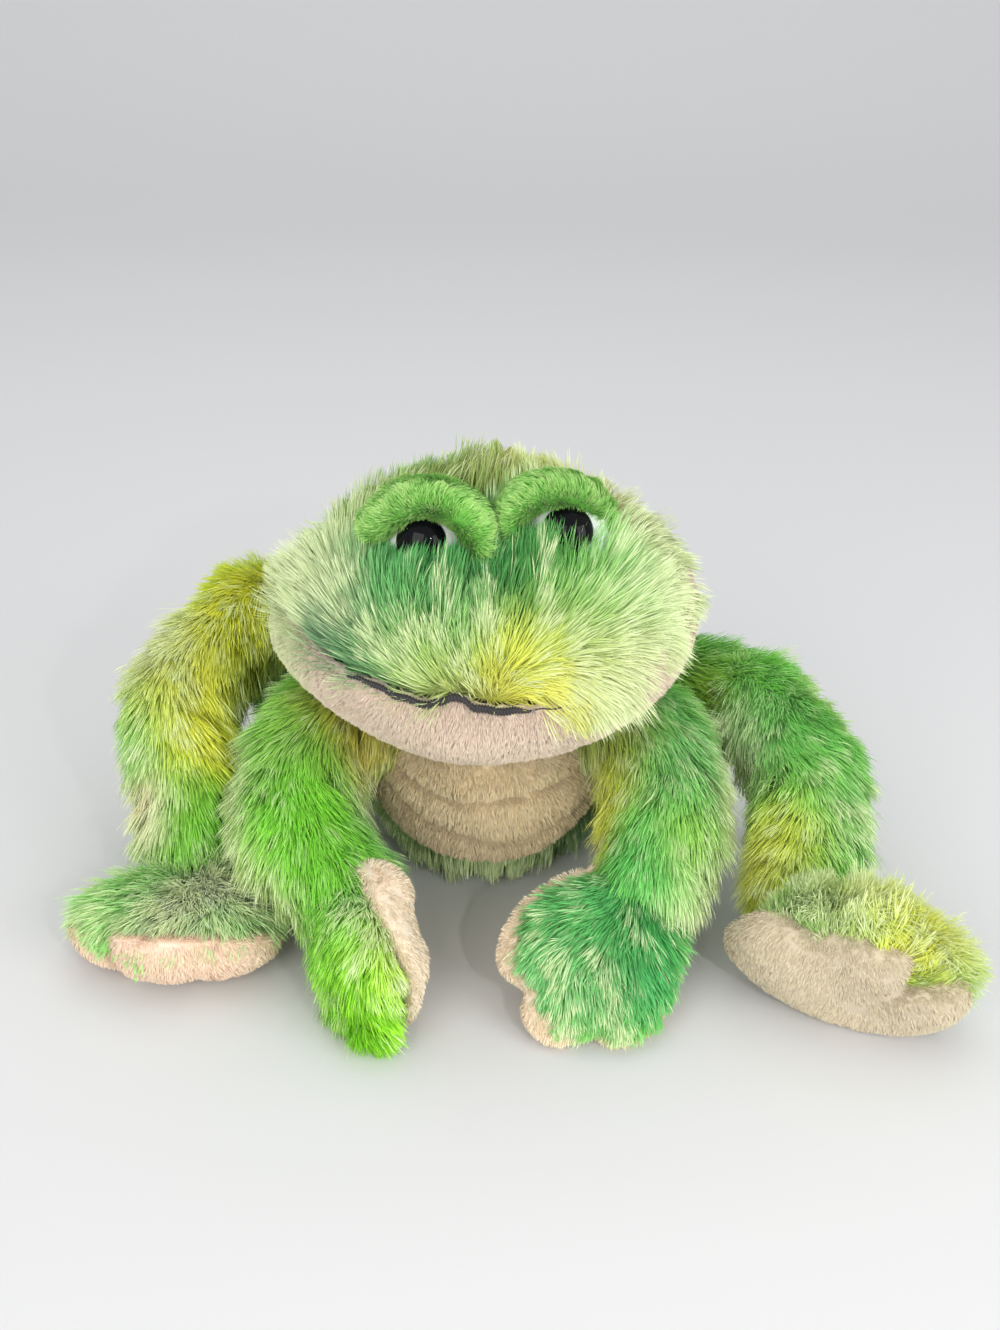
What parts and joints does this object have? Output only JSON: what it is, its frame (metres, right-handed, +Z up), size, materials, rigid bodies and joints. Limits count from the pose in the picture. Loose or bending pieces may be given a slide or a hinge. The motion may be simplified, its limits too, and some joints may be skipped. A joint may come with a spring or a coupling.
{
  "type": "plush frog",
  "caption": "Floppy long-pile plush frog lying on its seat, wide head over its arms, long legs bent at its sides, with webbed hands and feet and heavy-lidded eyes.",
  "frame": {"origin": "middle of the toy's footprint, on the surface that it rests on", "axes": "+X to the viewer's right across the width, +Y from the face towards the back, +Z up"},
  "size_m": [0.2554, 0.1778, 0.1457],
  "materials": {
    "pile_green": "long-pile tie-dyed plush, matte, strands laid flat",
    "pile_pale_green": "long-pile tie-dyed plush, matte, pale tips",
    "plush_cream": "short-napped plush, matte",
    "plush_pink_cream": "short-napped plush, matte",
    "plush_bright_green": "short plush, slight sheen",
    "felt_white": "white felt, matte",
    "thread_black": "satin-stitched embroidery thread",
    "bag_cloth": "plain woven bag cloth, matte",
    "pupil_black": "polished domed plastic",
    "washer_plastic": "natural moulded plastic"
  },
  "bodies": {
    "torso": {"torso": "pile_green", "belly_panel": "plush_cream", "bean_bag_torso": "bag_cloth"},
    "head": {"head_upper": "pile_green", "lower_jaw": "plush_pink_cream", "mouth_stitch": "thread_black", "eyeball_left": "felt_white", "pupil_left": "pupil_black", "eye_washer_left": "washer_plastic", "eyelid_left": "plush_bright_green", "eyeball_right": "felt_white", "pupil_right": "pupil_black", "eye_washer_right": "washer_plastic", "eyelid_right": "plush_bright_green"},
    "arm_left": {"arm_left": "pile_green"},
    "hand_left": {"hand_left": "pile_pale_green", "palm_left": "plush_cream", "bean_bag_hand_left": "bag_cloth"},
    "thigh_left": {"thigh_left": "pile_green"},
    "shin_left": {"shin_left": "pile_pale_green"},
    "foot_left": {"foot_left": "pile_pale_green", "sole_left": "plush_cream", "bean_bag_foot_left": "bag_cloth"},
    "arm_right": {"arm_right": "pile_green"},
    "hand_right": {"hand_right": "pile_green", "palm_right": "plush_cream", "bean_bag_hand_right": "bag_cloth"},
    "thigh_right": {"thigh_right": "pile_green"},
    "shin_right": {"shin_right": "pile_green"},
    "foot_right": {"foot_right": "pile_pale_green", "sole_right": "plush_cream", "bean_bag_foot_right": "bag_cloth"}
  },
  "joints": [
    {"name": "neck_nod", "type": "hinge", "parent": "torso", "child": "head", "pos_m": [-0.00727, 0.01386, 0.0582], "axis": [-1, 0, 0], "range_deg": [-3, 22]},
    {"name": "shoulder_left", "type": "hinge", "parent": "torso", "child": "arm_left", "pos_m": [-0.04529, 0.01083, 0.05322], "axis": [-1, 0, 0], "range_deg": [-4, 30]},
    {"name": "wrist_left", "type": "hinge", "parent": "arm_left", "child": "hand_left", "pos_m": [-0.04927, -0.04614, 0.0282], "axis": [-0.2321, 0.4557, -0.8594], "range_deg": [-20, 25]},
    {"name": "shoulder_right", "type": "hinge", "parent": "torso", "child": "arm_right", "pos_m": [0.03074, 0.01083, 0.05322], "axis": [-1, 0, 0], "range_deg": [-4, 30]},
    {"name": "wrist_right", "type": "hinge", "parent": "arm_right", "child": "hand_right", "pos_m": [0.04173, -0.03917, 0.03019], "axis": [-0.835, 0.354, 0.4212], "range_deg": [-20, 25]},
    {"name": "hip_left", "type": "hinge", "parent": "torso", "child": "thigh_left", "pos_m": [-0.04124, 0.05785, 0.0392], "axis": [0, 0, -1], "range_deg": [0, 30]},
    {"name": "knee_left", "type": "hinge", "parent": "thigh_left", "child": "shin_left", "pos_m": [-0.08826, 0.04385, 0.07422], "axis": [0.6634, -0.6928, 0.2827], "range_deg": [-25, 3]},
    {"name": "ankle_left", "type": "hinge", "parent": "shin_left", "child": "foot_left", "pos_m": [-0.09928, -0.01216, 0.02716], "axis": [-0.9946, 0.1015, -0.0214], "range_deg": [-20, 20]},
    {"name": "hip_right", "type": "hinge", "parent": "torso", "child": "thigh_right", "pos_m": [0.0267, 0.05785, 0.0392], "axis": [0, 0, 1], "range_deg": [0, 30]},
    {"name": "knee_right", "type": "hinge", "parent": "thigh_right", "child": "shin_right", "pos_m": [0.07973, 0.02987, 0.04921], "axis": [0.2586, 0.4092, -0.875], "range_deg": [-25, 3]},
    {"name": "ankle_right", "type": "hinge", "parent": "shin_right", "child": "foot_right", "pos_m": [0.08769, -0.03614, 0.0242], "axis": [-0.9474, 0.2485, 0.2019], "range_deg": [-20, 20]}
  ]
}
